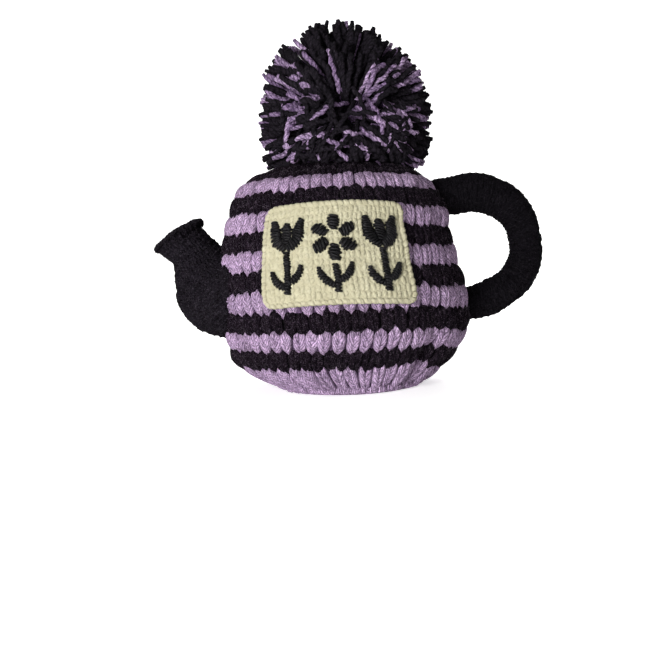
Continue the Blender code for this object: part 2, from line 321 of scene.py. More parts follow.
def add(tree, kind, inputs=None, **settings):
    """A node with its settings, and with its inputs linked where a socket is given or set otherwise."""
    node = tree.nodes.new(kind)
    for name, value in settings.items():
        setattr(node, name, value)
    for name, value in (inputs or {}).items():
        if isinstance(value, bpy.types.NodeSocket):
            tree.links.new(value, node.inputs[name])
        else:
            node.inputs[name].default_value = value
    return node


def mixed_colour(tree, factor, first, second):
    colours = [(*colour, 1.0) if isinstance(colour, tuple) else colour for colour in (first, second)]
    node = add(tree, "ShaderNodeMix", {0: factor, MIX_A: colours[0], MIX_B: colours[1]}, data_type="RGBA")
    return node.outputs[MIX_COLOUR]


def spread(tree, value, low, high, to_low, to_high):
    node = add(tree, "ShaderNodeMapRange", {"Value": value, "From Min": low, "From Max": high,
                                            "To Min": to_low, "To Max": to_high})
    return node.outputs["Result"]


def arithmetic(tree, operation, *values):
    node = add(tree, "ShaderNodeMath", dict(enumerate(values)), operation=operation)
    return node.outputs["Value"]


def noise(tree, vector, scale, detail=2.0, roughness=0.5, distortion=0.0):
    node = add(tree, "ShaderNodeTexNoise", {"Vector": vector, "Scale": scale, "Detail": detail,
                                            "Roughness": roughness, "Distortion": distortion})
    return node.outputs["Fac"]


def wool(name, light, colour, dark, sheen=0.10, hair_and_glint=0.0, hair_and_glint_colour=(0.2, 0.2, 0.2), relief=0.0016,
         ply_groove_shade=0.8, tone_share=0.25, clump_shade=0.75, shine=0.10, roughness=0.90, waver=1.7):
    """Matt twisted wool: wavering plies with painted shade in their grooves, fibres along them, clumps with
    painted shade in the hollows between them, and pale specks that are partly pale hairs and partly painted
    highlights.
    """
    material = bpy.data.materials.new(name)
    material.use_nodes = True
    tree = material.node_tree
    shader = tree.nodes["Principled BSDF"]
    shader.inputs["Roughness"].default_value = roughness
    shader.inputs["Specular IOR Level"].default_value = shine
    shader.inputs["Sheen Weight"].default_value = sheen
    shader.inputs["Sheen Roughness"].default_value = 0.40
    shader.inputs["Sheen Tint"].default_value = (*light, 1.0)

    where = add(tree, "ShaderNodeTexCoord")
    place = where.outputs["Object"]
    tone_and_shade = add(tree, "ShaderNodeAttribute", attribute_name="tone_and_shade").outputs["Fac"]
    yarn = add(tree, "ShaderNodeSeparateXYZ", {0: where.outputs["UV"]})
    length = yarn.outputs["Y"]
    ply = arithmetic(tree, "MULTIPLY_ADD", noise(tree, place, 240.0), waver, yarn.outputs["X"])

    across = arithmetic(tree, "MULTIPLY_ADD", arithmetic(tree, "FRACT", ply), 2.0, -1.0)
    flat = arithmetic(tree, "MULTIPLY", across, across)
    round_ply = arithmetic(tree, "SQRT", arithmetic(tree, "SUBTRACT", 1.0, flat))

    fibre_place = add(tree, "ShaderNodeCombineXYZ", {
        "X": arithmetic(tree, "MULTIPLY", ply, 0.9),
        "Y": arithmetic(tree, "MULTIPLY", length, 1.9),
        "Z": arithmetic(tree, "MULTIPLY", tone_and_shade, 31.0),
    })
    fibres = noise(tree, fibre_place.outputs["Vector"], 1.7, detail=4.0, roughness=0.75, distortion=0.6)
    clump = noise(tree, place, 500.0, detail=3.0, roughness=0.65, distortion=1.2)
    mottle = noise(tree, place, 230.0, detail=3.0, roughness=0.6)
    broad = noise(tree, place, 34.0)

    pale_fibres = spread(tree, fibres, 0.36, 0.64, 0.0, 1.0 - tone_share)
    lit = arithmetic(tree, "MULTIPLY_ADD", tone_and_shade, tone_share, pale_fibres)
    base = mixed_colour(tree, lit, colour, light)
    shaded = arithmetic(tree, "MULTIPLY_ADD", spread(tree, mottle, 0.30, 0.66, 0.62, 0.0), 0.7,
                        spread(tree, broad, 0.30, 0.70, 0.18, 0.0))
    base = mixed_colour(tree, shaded, base, dark)
    # Painted shade: darker where the clump noise is low, which is where the bump sinks between clumps
    base = mixed_colour(tree, spread(tree, clump, 0.38, 0.54, clump_shade, 0.0), base, dark)
    # Painted shade: darker in the grooves between the plies, where the bump sinks
    groove_painted_shade = spread(tree, round_ply, 0.22, 0.90, ply_groove_shade, 0.0)
    base = mixed_colour(tree, groove_painted_shade, base, dark)
    # Pale specks: partly pale hairs of the yarn, partly painted highlights where fibres catch the light
    if hair_and_glint:
        hair_and_glint_specks = noise(tree, place, 600.0, detail=3.0, roughness=0.7, distortion=2.0)
        base = mixed_colour(tree, spread(tree, hair_and_glint_specks, 0.54, 0.66, 0.0, hair_and_glint), base, hair_and_glint_colour)
    tree.links.new(base, shader.inputs["Base Color"])

    fuzz = noise(tree, place, 1500.0, detail=2.0)
    height = arithmetic(tree, "MULTIPLY_ADD", fibres, 0.45, arithmetic(tree, "MULTIPLY", round_ply, 0.70))
    height = arithmetic(tree, "MULTIPLY_ADD", clump, 1.10, height)
    height = arithmetic(tree, "MULTIPLY_ADD", fuzz, 0.20, height)
    raised = add(tree, "ShaderNodeBump", {"Height": height, "Distance": relief, "Strength": 0.9})
    tree.links.new(raised.outputs["Normal"], shader.inputs["Normal"])
    return material


def studio_paint(name, base, glow, roughness, specular):
    """A plain paint with a white glow of its own, so that it stays white."""
    material = bpy.data.materials.new(name)
    material.use_nodes = True
    shader = material.node_tree.nodes["Principled BSDF"]
    shader.inputs["Base Color"].default_value = (base, base, base, 1.0)
    shader.inputs["Roughness"].default_value = roughness
    shader.inputs["Specular IOR Level"].default_value = specular
    shader.inputs["Emission Color"].default_value = (1.0, 1.0, 1.0, 1.0)
    shader.inputs["Emission Strength"].default_value = glow
    return material


# The body
LEG = (
    # across in pitches, up in courses, offset, radius as a share of the yarn's
    (0.100, 1.03, -0.0040, 0.78),
    (0.192, 0.94, -0.0022, 1.12),
    (0.218, 0.76, -0.0013, 1.24),
    (0.216, 0.54, -0.0010, 1.25),
    (0.192, 0.31, -0.0012, 1.16),
    (0.130, 0.06, -0.0018, 0.96),
    (0.036, -0.20, -0.0031, 0.54),
)
LEG_STEPS = 12
LEG_SIDES = 8


def course_legs(low_level, high_level, count, phase, plump=1.0):
    """Both legs of every stitch of one course, which lies between two levels."""
    leg = eased(LEG, LEG_STEPS)
    height = high_level - low_level
    pitch = 2 * math.pi / count
    middle = (np.arange(count) + phase) * pitch + random.normal(0, 0.055, count) * pitch
    wide = random.uniform(0.88, 1.06, count)
    tall = random.uniform(0.93, 1.08, count)
    lean = random.normal(0.04, 0.08, count) * pitch
    lift = random.normal(0.0, 0.00034, count)
    drop = random.normal(0.0, 0.045, count)
    half_width = along(COURSE_EDGES, np.array((low_level + high_level) / 2))[1]
    girth = min(YARN, half_width * pitch * 0.262) * plump
    arch = np.sin(math.pi * np.linspace(0, 1, LEG_STEPS))
    parts = []
    for hand in (-1.0, 1.0):
        own_height = random.normal(0.0, 0.03, count)
        own_bow = random.normal(0.0, 0.020, count)[:, None] * arch[None]
        up = (leg[:, 1] - 0.5)[None] * tall[:, None] + (drop + own_height)[:, None] + 0.02 * hand
        aside = hand * leg[:, 0][None] * wide[:, None] + own_bow
        azimuth = middle[:, None] + aside * pitch + lean[:, None] * up
        level = np.clip(sagged((low_level + high_level) / 2 + up * height, azimuth), 0.02, COURSES - 0.02)
        lines = body_point(level, azimuth, leg[:, 2][None] + lift[:, None])
        radii = leg[:, 3][None] * girth * random.uniform(0.91, 1.09, count)[:, None]
        lines[..., 2] = np.maximum(lines[..., 2], radii + 0.0002)
        parts.append(tubes(lines, radii, body_out(level, azimuth), LEG_SIDES, plies=8, turn=0.026 * hand))
    return parts


def is_lilac(course):
    return course % 2 == 0 and course < 11


def body_stitches(lilac, dark):
    pieces = {True: [], False: []}
    for course in range(1, COURSES):
        count = CROWN_STITCHES.get(course, STITCHES_ROUND)
        pieces[is_lilac(course)] += course_legs(course, course + 1, count, 0.5 * (course % 2) + 0.25)
    pieces[True] += course_legs(HEM_SPLIT, 1.0, HEM_STITCHES, 0.25, plump=0.93)
    pieces[True] += course_legs(0.03, HEM_SPLIT, HEM_STITCHES, 0.75)
    pieces[True].append(hem_chain())
    light = yarn_piece("lilac_stitches", pieces[True], lilac)
    deep = yarn_piece("dark_stitches", pieces[False], dark)
    return light, deep


def hem_chain():
    """The chain along the lower edge: slanted loops that lie end to end."""
    count = 66
    azimuth = 2 * math.pi * np.arange(count) / count
    t = np.linspace(0.0, 1.0, 8)
    swing = 2 * math.pi / count
    reach = azimuth[:, None] + (t[None] - 0.5) * swing * 1.5
    level = 0.02 + 0.09 * t[None]
    rise = np.sin(math.pi * t)
    lines = body_point(level, reach, -0.0022 + 0.0009 * rise[None])
    radii = (0.0010 + 0.0010 * rise)[None] * random.uniform(0.92, 1.08, count)[:, None]
    lines[..., 2] = np.maximum(lines[..., 2], radii + 0.0001)
    return tubes(lines, radii, body_out(level, reach), LEG_SIDES, plies=3, turn=0.0078)


def body_cloth(lilac, dark, lilac_painted_gap_shade, dark_painted_gap_shade):
    """The cloth behind the stitches: a closed shell with a soft ridge to each course, inside and out.

    Its outer face shows only in the gaps between the stitches. There it takes darker copies of the yarn
    colours: painted shade for the shadow deep in those gaps.
    """
    sides = 96
    per_course = 6
    azimuth = 2 * math.pi * np.arange(sides) / sides
    levels = np.linspace(0.0, COURSES, COURSES * per_course + 1)
    ridge = np.sin(math.pi * (levels % 1.0)) ** 2
    outer, inner = [], []
    for level, bump in zip(levels, ridge):
        outer.append(body_point(sagged(level, azimuth), azimuth, CLOTH_FACE))
        inner.append(body_point(sagged(level, azimuth), azimuth, CLOTH_BACK - 0.0009 * bump))
    outer[0][:, 2] = 0.0
    inner[0][:, 2] = 0.0
    points = np.concatenate(outer + inner)
    faces, slots = [], []
    rings = len(levels)
    for layer in (0, 1):
        for ring in range(rings - 1):
            base = (layer * rings + ring) * sides
            colour = 0 if is_lilac(ring // per_course) else 1
            # Painted shade: past the first rings, the outer face takes the darker copies of the yarn colours
            takes_painted_shade = layer == 0 and ring > 1
            for here in range(sides):
                after = (here + 1) % sides
                quad = (base + here, base + after, base + sides + after, base + sides + here)
                faces.append(quad if layer == 0 else quad[::-1])
                slots.append(colour + 2 if takes_painted_shade else colour)
    for here in range(sides):
        after = (here + 1) % sides
        faces.append((rings * sides + here, rings * sides + after, after, here))
        slots.append(0)
    top = (rings - 1) * sides
    faces.append([top + here for here in range(sides)])
    faces.append([rings * sides + top + here for here in reversed(range(sides))])
    slots += [1, 1]
    mesh = bpy.data.meshes.new("body_cloth")
    mesh.from_pydata(points.tolist(), [], faces)
    thing = placed("body_cloth", mesh, (lilac, dark, lilac_painted_gap_shade, dark_painted_gap_shade))
    mesh.polygons.foreach_set("material_index", slots)
    return thing


# The panel
def panel_point(across, up, offset):
    """A point over the panel. across is -1 to 1 and up is 0 to 1."""
    across, up = np.asarray(across, float), np.asarray(up, float)
    top = PANEL_TOP - PANEL_TOP_ARCH * across**2
    bottom = PANEL_BOTTOM + PANEL_BOTTOM_ARCH * (1.0 - across**2)
    level = course_at(bottom + up * (top - bottom))
    azimuth = PANEL_AZIMUTH + across * PANEL_HALF_ANGLE
    return body_point(level, azimuth, offset), body_out(level, azimuth)


PANEL_WIDTH = 2 * PANEL_HALF_ANGLE * 0.0955
PANEL_HEIGHT = PANEL_TOP - PANEL_BOTTOM
EDGING = 0.0044
PANEL_COLUMNS = 14
PANEL_ROWS = 14
KNIT_LEG = (
    # across in pitches, up in rows, offset, radius in metres
    (0.24, 0.84, 0.0026, 0.00115),
    (0.265, 0.55, 0.0032, 0.00180),
    (0.230, 0.12, 0.0036, 0.00205),
    (0.150, -0.30, 0.0034, 0.00190),
    (0.065, -0.68, 0.0025, 0.00115),
)


def panel_stitches(cream):
    """Upright columns of stitches, two legs to a stitch, inside a chained edging."""
    leg = eased(KNIT_LEG, 8)
    pitch = 2 * (1 - 2 * EDGING / PANEL_WIDTH) / PANEL_COLUMNS
    row_share = (1 - 2 * EDGING / PANEL_HEIGHT) / PANEL_ROWS
    column, row = np.meshgrid(np.arange(PANEL_COLUMNS), np.arange(PANEL_ROWS), indexing="ij")
    count = column.size
    middle = (column.ravel() + 0.5 - PANEL_COLUMNS / 2) * pitch + random.normal(0, 0.03, count) * pitch
    level = EDGING / PANEL_HEIGHT + (row.ravel() + 0.5) * row_share
    level = level + random.normal(0, 0.06, count) * row_share
    parts = []
    for hand in (-1.0, 1.0):
        across = middle[:, None] + hand * leg[:, 0][None] * pitch
        up = level[:, None] + (leg[:, 1][None] + 0.03 * hand) * row_share
        offset = leg[:, 2][None] + random.normal(0, 0.00018, count)[:, None]
        lines, out = panel_point(across, up, offset)
        radii = leg[:, 3][None] * random.uniform(0.92, 1.08, count)[:, None]
        parts.append(tubes(lines, radii, out, LEG_SIDES, plies=3, turn=0.0075, flatten=0.85))
    parts.append(panel_edging())
    piece = yarn_piece("panel_stitches", parts, cream)
    return piece


def panel_outline(inset, count):
    """A line round the panel inside its edge: even distances along it, a place finder and its length."""
    half_w = PANEL_WIDTH / 2 - inset
    half_h = PANEL_HEIGHT / 2 - inset
    corner = max(PANEL_CORNER - inset, 0.002)
    centres = ((1, 1), (-1, 1), (-1, -1), (1, -1))
    points = []
    for index, (sx, sy) in enumerate(centres):
        for turn in np.linspace(0, math.pi / 2, 8):
            angle = turn + index * math.pi / 2
            points.append((
                sx * (half_w - corner) + corner * math.cos(angle),
                sy * (half_h - corner) + corner * math.sin(angle),
            ))
    points = np.array(points + points[:1])
    run = np.concatenate(([0.0], np.cumsum(np.linalg.norm(np.diff(points, axis=0), axis=1))))
    where = np.linspace(0, run[-1], count, endpoint=False)

    def at(distance):
        distance = distance % run[-1]
        x = np.interp(distance, run, points[:, 0])
        y = np.interp(distance, run, points[:, 1])
        return x / (PANEL_WIDTH / 2), y / PANEL_HEIGHT + 0.5

    return where, at, run[-1]


def panel_edging():
    """Slanted loops round the panel, end over end like a chain."""
    count = 74
    where, inner_at, inner_length = panel_outline(EDGING * 0.80, count)
    _, outer_at, outer_length = panel_outline(EDGING * 0.28, count)
    t = np.linspace(0, 1, 8)
    start = where[:, None] + (t[None] - 0.5) * 0.0082
    ia, iu = inner_at(start)
    oa, ou = outer_at(start * outer_length / inner_length)
    mix = t[None]
    rise = np.sin(math.pi * t)
    across, up = ia * (1 - mix) + oa * mix, iu * (1 - mix) + ou * mix
    lines, out = panel_point(across, np.clip(up, 0, 1), 0.0026 + 0.0013 * rise[None])
    radii = (0.0010 + 0.00115 * rise)[None] * random.uniform(0.93, 1.07, count)[:, None]
    return tubes(lines, radii, out, LEG_SIDES, plies=3, turn=0.0075)


def panel_cloth(cream):
    """The thin cloth behind the panel's stitches."""
    columns, rows = 44, 30
    heights = np.linspace(0.0, 1.0, rows + 1)
    widths = np.linspace(-1.0, 1.0, columns + 1)
    grids = []
    for offset in (PANEL_BACK, PANEL_BACK + 0.0030):
        up, across = np.meshgrid(heights, widths, indexing="ij")
        distance = np.minimum(up, 1 - up) * PANEL_HEIGHT
        rest = np.clip(PANEL_CORNER - distance, 0.0, None)
        inset = PANEL_CORNER - np.sqrt(PANEL_CORNER**2 - rest**2)
        shrink = 1 - (inset + 0.0009) / (PANEL_WIDTH / 2)
        edge = 0.0009 / PANEL_HEIGHT
        grids.append(panel_point(across * shrink, edge + up * (1 - 2 * edge), offset)[0])
    points = np.concatenate([grid.reshape(-1, 3) for grid in grids])
    size = (rows + 1) * (columns + 1)
    faces = []
    for row in range(rows):
        for column in range(columns):
            a = row * (columns + 1) + column
            quad = (a, a + 1, a + columns + 2, a + columns + 1)
            faces.append(tuple(size + index for index in quad))
            faces.append(quad[::-1])
    loop = list(range(columns + 1))
    loop += [row * (columns + 1) + columns for row in range(1, rows)]
    loop += [rows * (columns + 1) + column for column in reversed(range(columns + 1))]
    loop += [row * (columns + 1) for row in reversed(range(1, rows))]
    for here, after in zip(loop, loop[1:] + loop[:1]):
        faces.append((here, after, size + after, size + here))
    mesh = bpy.data.meshes.new("panel_cloth")
    mesh.from_pydata(points.tolist(), [], faces)
    return placed("panel_cloth", mesh, (cream,))


# Embroidery: a row of plain flowers in satin stitch
def on_panel(points, offset):
    """Places given in metres from the panel's middle."""
    return panel_point(points[..., 0] / (PANEL_WIDTH / 2), points[..., 1] / PANEL_HEIGHT + 0.5, offset)


def satin(spine, widths, pitch=0.0019):
    """Wraps of thread across a spine of (x, y) places, over a flat padding of the same thread."""
    spine = along(np.array(spine, float), np.linspace(0, len(spine) - 1, 40))
    run = np.concatenate(([0.0], np.cumsum(np.linalg.norm(np.diff(spine, axis=0), axis=1))))
    count = max(int(run[-1] / pitch), 2)
    where = (np.arange(count) + 0.5) / count * run[-1]
    centre = np.stack([np.interp(where, run, spine[:, axis]) for axis in (0, 1)], -1)
    ahead = np.stack([np.interp(where + 0.0007, run, spine[:, axis]) for axis in (0, 1)], -1)
    behind = np.stack([np.interp(where - 0.0007, run, spine[:, axis]) for axis in (0, 1)], -1)
    direction = unit(ahead - behind)
    slant = random.normal(0.22, 0.10, count)
    across = np.stack((-direction[:, 1], direction[:, 0]), -1) + direction * slant[:, None]
    half = np.interp(where / run[-1], np.linspace(0, 1, len(widths)), widths)
    half = half * random.uniform(0.92, 1.09, count)
    t = np.linspace(-1, 1, 8)
    flat = centre[:, None] + across[:, None] * half[:, None, None] * t[None, :, None]
    rise = 0.0045 + 0.0019 * (1 - t**4) + random.normal(0, 0.00024, count)[:, None]
    lines, out = on_panel(flat, rise)
    radii = (0.00108 * (1 - 0.30 * t**4))[None] * random.uniform(0.88, 1.15, count)[:, None]
    wraps = tubes(lines, radii, out, 6, plies=2, turn=0.0050)
    steps = np.linspace(0, len(spine) - 1, 10).astype(int)
    under, under_out = on_panel(spine[steps][None], 0.0046)
    under_half = np.interp(np.linspace(0, 1, 10), np.linspace(0, 1, len(widths)), widths) * 0.88
    padding = tubes(under, under_half[None], under_out, 8, flatten=0.0017 / max(widths))
    return [wraps, padding]


def turned(points, middle, angle):
    """Places moved from the upright, then turned and put round a middle."""
    points = np.array(points, float)
    cos, sin = math.cos(angle), math.sin(angle)
    x = middle[0] + points[:, 0] * cos - points[:, 1] * sin
    y = middle[1] + points[:, 0] * sin + points[:, 1] * cos
    return np.stack((x, y), -1)


def daisy(middle, petals, inner, outer, half_width):
    """Petals round a small eye of the panel's own colour."""
    parts = []
    for index in range(petals):
        upright = ((0.0, inner), (0.0, (inner + outer) / 2), (0.0, outer))
        spine = turned(upright, middle, 2 * math.pi * index / petals)
        parts += satin(spine, (half_width * 0.5, half_width, half_width, half_width * 0.55))
    return parts


def tulip(middle, height, half_width):
    """Three petals that part at their tips."""
    parts = []
    for lean in (-1.0, 0.0, 1.0):
        spine = [(middle[0] + lean * reach * height, middle[1] + share * height)
                 for reach, share in ((0.03, 0.0), (0.34, 0.30), (0.40, 0.66), (0.48, 0.96))]
        if lean == 0.0:
            spine = [(middle[0], middle[1] + share * height) for share in (0.16, 0.5, 0.86)]
        parts += satin(spine, (half_width * 0.55, half_width, half_width, half_width * 0.4))
    return parts


def stem_and_leaves(x, top, bottom, half_width, leaf_length):
    parts = satin([(x, top), (x + 0.0008, (top + bottom) / 2), (x, bottom)], (half_width, half_width))
    for side in (-1.0, 1.0):
        start = bottom + (0.0045 if side < 0 else 0.0075)
        spine = [(x + side * reach * leaf_length, start + rise * leaf_length)
                 for reach, rise in ((0.10, 0.0), (0.42, 0.20), (0.66, 0.52), (0.76, 0.90))]
        parts += satin(spine, (half_width * 0.7, half_width * 1.25, half_width * 1.15, half_width * 0.35))
    return parts


def embroidery(black):
    parts = daisy((0.0, 0.0105), 6, 0.0052, 0.0165, 0.0044)
    parts += stem_and_leaves(0.0, -0.0085, -0.0285, 0.0021, 0.0150)
    for x in (-0.0340, 0.0335):
        parts += tulip((x, 0.0040), 0.0225, 0.0042)
        parts += stem_and_leaves(x, 0.0025, -0.0280, 0.0021, 0.0140)
    piece = yarn_piece("embroidery", parts, black)
    return piece


# The spout and the handle
def tube_surface(stations, position, turn, offset):
    """Points on a stuffed tube that runs along stations in the XZ plane, and the directions out of it."""
    row = along(stations, position)
    ahead = along(stations, np.minimum(position + 0.05, len(stations) - 1))
    behind = along(stations, np.maximum(position - 0.05, 0.0))
    path = np.stack((ahead[..., 0] - behind[..., 0], 0 * ahead[..., 0], ahead[..., 1] - behind[..., 1]), -1)
    path = unit(path)
    across = np.stack((-path[..., 2], 0 * path[..., 0], path[..., 0]), -1)
    deep = np.array((0.0, 1.0, 0.0))
    middle = np.stack((row[..., 0], 0 * row[..., 0], row[..., 1]), -1)
    cos, sin = np.cos(turn)[..., None], np.sin(turn)[..., None]
    wide = (row[..., 2] + offset)[..., None]
    thick = (row[..., 3] + offset)[..., None]
    point = middle + across * cos * wide + deep * sin * thick
    return point + CENTRING, unit(across * cos + deep * sin)


LIP = (
    # past the last station, share of its section
    (0.0016, 1.03),
    (0.0030, 1.00),
    (0.0038, 0.90),
    (0.0040, 0.62),
    (0.0035, 0.25),
    (0.0033, 0.02),
)


def meridian_grid(stations, rings, sides, lip=()):
    """Rings of points over a tube and its rounded end, as (ring, side, xyz)."""
    turn = 2 * math.pi * np.arange(sides) / sides
    position = np.linspace(0, len(stations) - 1, rings)
    grid = tube_surface(stations, position[:, None], turn[None], 0.0)[0]
    if not lip:
        return grid
    middle = (stations[-1][0], 0.0, stations[-1][1])
    path = unit(stations[-1][:2] - along(stations, np.array(len(stations) - 1.05))[:2])
    forward = np.array((path[0], 0.0, path[1]))
    table = np.array([(0.0, 1.0), *lip])
    lip_rows = along(table, np.linspace(0, len(table) - 1, 30))[1:]
    spokes = grid[-1] - (np.array(middle) + CENTRING)
    rounded = [np.array(middle) + CENTRING + forward * past + spokes * share for past, share in lip_rows]
    return np.concatenate((grid, np.stack(rounded)))


def even_rings(grid, step):
    """The same surface with rings that lie a chosen distance apart along the middle of their sides."""
    length = np.linalg.norm(np.diff(grid, axis=0), axis=-1).mean(axis=1)
    run = np.concatenate(([0.0], np.cumsum(length)))
    where = np.linspace(0, run[-1], int(run[-1] / step))
    place = np.interp(where, run, np.arange(len(grid)))
    low = np.minimum(place.astype(int), len(grid) - 2)
    share = (place - low)[:, None, None]
    return grid[low] * (1 - share) + grid[low + 1] * share


def grid_normals(grid):
    around = np.roll(grid, -1, 1) - np.roll(grid, 1, 1)
    lengthways = np.gradient(grid, axis=0)
    return unit(np.cross(around, lengthways))


def crochet_cover(name, grid, material, row_height, pitch, relief, follow_surface, seed):
    """A stuffed tube with rows of single crochet stood out from its surface.

    Rows are counted along each side where they follow the surface, and across the tube otherwise.
    """
    rings, sides, _ = grid.shape
    lengths = np.linalg.norm(np.diff(grid[::-1], axis=0), axis=-1)
    if not follow_surface:
        lengths = np.repeat(lengths.mean(axis=1, keepdims=True), sides, axis=1)
    run = np.zeros((rings, sides))
    run[1:] = np.cumsum(lengths, axis=0)
    run = run[::-1]
    v = run / row_height + 0.12 * unevenness(grid, 0.030, seed)
    row = np.floor(v).astype(int)
    girth = np.linalg.norm(grid - np.roll(grid, 1, 1), axis=-1).sum(axis=1)
    mean_row = (run.mean(axis=1) / row_height)[::-1]
    counts = np.maximum(np.round(np.interp(np.arange(-2, row.max() + 3), mean_row, girth[::-1]) / pitch), 4)
    count = counts[row + 2]
    turn = np.arange(sides)[None] / sides
    u = turn * count + 0.5 * (row % 2) + 0.37 * np.sin(row * 2.4)
    du = u - np.floor(u) - 0.5
    dv = v - row - 0.5
    shaped = np.clip(1 - (2 * du) ** 4, 0, 1) ** 0.5 * np.clip(1 - (2 * dv) ** 2, 0, 1) ** 0.5
    parting = 1 - 0.42 * np.exp(-((du + 0.25 * dv) / 0.10) ** 2)
    chance = np.random.default_rng(seed)
    sizes = chance.uniform(0.80, 1.12, 4096)
    uneven = sizes[(row * 131 + np.floor(u).astype(int) * 17) % 4096]
    raised = relief * np.clip(v - 0.2, 0.25, 1.0) * (shaped * parting * uneven - 0.55)
    height = raised + 0.0007 * unevenness(grid, 0.024, seed + 1)
    points = grid + grid_normals(grid) * height[..., None]

    index = np.arange(rings * sides).reshape(rings, sides)
    after = np.roll(index, -1, 1)
    quads = np.stack((index[:-1], after[:-1], after[1:], index[1:]), -1).reshape(-1, 4)
    ply = 2.0 * v + 1.1 * np.abs(du)
    yarn = np.stack((ply, 100.0 * u * pitch), -1).reshape(-1, 2)
    mesh = bpy.data.meshes.new(name)
    caps = [index[0][::-1].tolist(), index[-1].tolist()]
    mesh.from_pydata(points.reshape(-1, 3).tolist(), [], quads.tolist() + caps)
    tone_and_painted_shade = chance.uniform(0, 1, 4096)[(row * 57 + np.floor(u).astype(int) * 29) % 4096]
    # Painted light: each stitch is lighter at its raised middle and darker towards the gaps between
    # stitches, over a random tone for each stitch
    tone_and_painted_shade = tone_and_painted_shade * 0.35 + 0.65 * np.clip(shaped * parting, 0, 1) ** 1.5
    paint(mesh, yarn[quads], tone_and_painted_shade.ravel())
    return placed(name, mesh, (material,))


def spout(dark):
    grid = even_rings(meridian_grid(SPOUT_STATIONS, 160, 260, LIP), 0.00075)
    cover = crochet_cover("spout_cover", grid, dark, 0.0047, 0.0054, 0.0026, True, 3)
    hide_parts("spout")


def handle(black):
    grid = even_rings(meridian_grid(HANDLE_STATIONS, 300, 108), 0.00072)
    cover = crochet_cover("handle_cover", grid, black, 0.0039, 0.0053, 0.0018, False, 7)
    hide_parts("handle")


# The pompom
def field(directions, seed, waves=7, pitch=5.0):
    """A smooth random field over directions, for clusters of one colour."""
    chance = np.random.default_rng(seed)
    total = np.zeros(len(directions))
    for _ in range(waves):
        wave = chance.normal(0, pitch, 3)
        total += np.cos(directions @ wave + chance.uniform(0, 2 * math.pi))
    return total / math.sqrt(waves)


LILAC_TUFTS = (
    # angle from the top towards +X, half angle, share of the strands that are lilac
    (-19.0, 1.8, 0.8),
    (-36.0, 2.2, 0.8),
    (-52.0, 2.6, 0.8),
    (-63.0, 1.8, 0.7),
    (-75.0, 2.9, 0.8),
    (-88.0, 3.0, 0.85),
    (-103.0, 3.1, 0.8),
    (-118.0, 2.6, 0.7),
    (-130.0, 2.8, 0.8),
    (-146.0, 5.0, 0.5),
    (8.0, 5.0, 0.20),
    (41.0, 4.2, 0.85),
    (58.0, 5.0, 0.80),
    (69.0, 5.0, 0.75),
    (93.0, 4.6, 0.75),
    (120.0, 2.8, 0.8),
    (134.0, 5.0, 0.6),
    (158.0, 5.0, 0.4),
    (180.0, 8.0, 0.4),
)
POMPOM_SEED = 4
FAN_STRANDS = 1330
LOOSE_STRANDS = 150
STRAND_STEPS = 19
STRAND_SIDES = 5


def around_tie(direction):
    """The angle of a direction round the tie, in degrees from the top towards +X."""
    return np.degrees(np.arctan2(direction[:, 0], direction[:, 2]))


def pompom_reach(direction):
    """How far the pompom reaches from its middle, with the dent in its upper +X side."""
    dent_angle, half_angle, dent_share = POMPOM_DENT
    flatness = np.hypot(direction[:, 0], direction[:, 2])
    dent = dent_share * flatness * np.exp(-(((around_tie(direction) - dent_angle) / half_angle) ** 2))
    return POMPOM_RADII * direction * (1.0 - dent)[:, None]


def bent_strand(root, control, end, wiggle):
    """Curves from root to end, cut short where they would run into the crown."""
    count = len(root)

    def at(t):
        curve = root[:, None] * (1 - t) ** 2 + 2 * control[:, None] * t * (1 - t) + end[:, None] * t**2
        return curve + POMPOM_MIDDLE

    coarse = at(np.linspace(0, 1, 40)[None, :, None])
    clear = coarse[..., 2] > crown_height(coarse[..., 0], coarse[..., 1]) + 0.0030
    clear[:, :12] = True
    reach = np.where(clear.all(axis=1), 40, np.argmin(clear, axis=1)) / 40
    t = np.linspace(0, 1, STRAND_STEPS)[None, :, None] * reach[:, None, None]
    lines = at(t)
    chance = np.random.default_rng(17)
    sideways = unit(np.cross(end, chance.normal(0, 1, (count, 3))))
    crosswise = unit(np.cross(end, sideways))
    beats = chance.uniform(0.5, 1.4, (count, 1, 1))
    quick_beats = chance.uniform(3.0, 5.5, (count, 1, 1))
    start = chance.uniform(0, 2 * math.pi, (count, 1, 1))
    sway = np.sin(2 * math.pi * beats * t + start) * sideways[:, None]
    sway = sway + np.cos(2 * math.pi * beats * 0.8 * t + 2 * start) * crosswise[:, None]
    crimp = np.sin(2 * math.pi * quick_beats * t + 3 * start) * sideways[:, None]
    crimp = crimp + np.cos(2 * math.pi * quick_beats * t + start) * crosswise[:, None]
    strength = chance.uniform(0.3, 1.0, (count, 1, 1)) * wiggle
    return lines + sway * t * strength + crimp * np.minimum(2 * t, 1.0) * 0.00055


def fan_strands(count):
    """Strands that fan out from the tie to the rim, so that a hollow stays in the middle of either face."""
    angle = random.uniform(-math.pi, math.pi, count)
    tilt = np.arcsin(random.uniform(-0.87, 0.87, count))
    direction = np.stack((np.sin(angle) * np.cos(tilt), np.sin(tilt), np.cos(angle) * np.cos(tilt)), -1)
    keep = direction[:, 2] > -0.80
    direction = direction[keep]
    count = len(direction)
    lean = direction[:, 1]
    end = pompom_reach(direction) * random.uniform(0.95, 1.03, count)[:, None]
    clump = np.stack([unevenness(end, 0.030, seed) for seed in (31, 32, 33)], -1)
    end = end + 0.0022 * clump
    root = np.stack((random.normal(0, 0.004, count), lean * 0.030, random.normal(-0.010, 0.004, count)), -1)
    bow = np.stack((end[:, 0] * 0.42, lean * 0.074, end[:, 2] * 0.42), -1)
    control = bow + random.normal(0, 0.0032, (count, 3)) + 0.004 * clump
    return bent_strand(root, control, end, 0.0034), direction


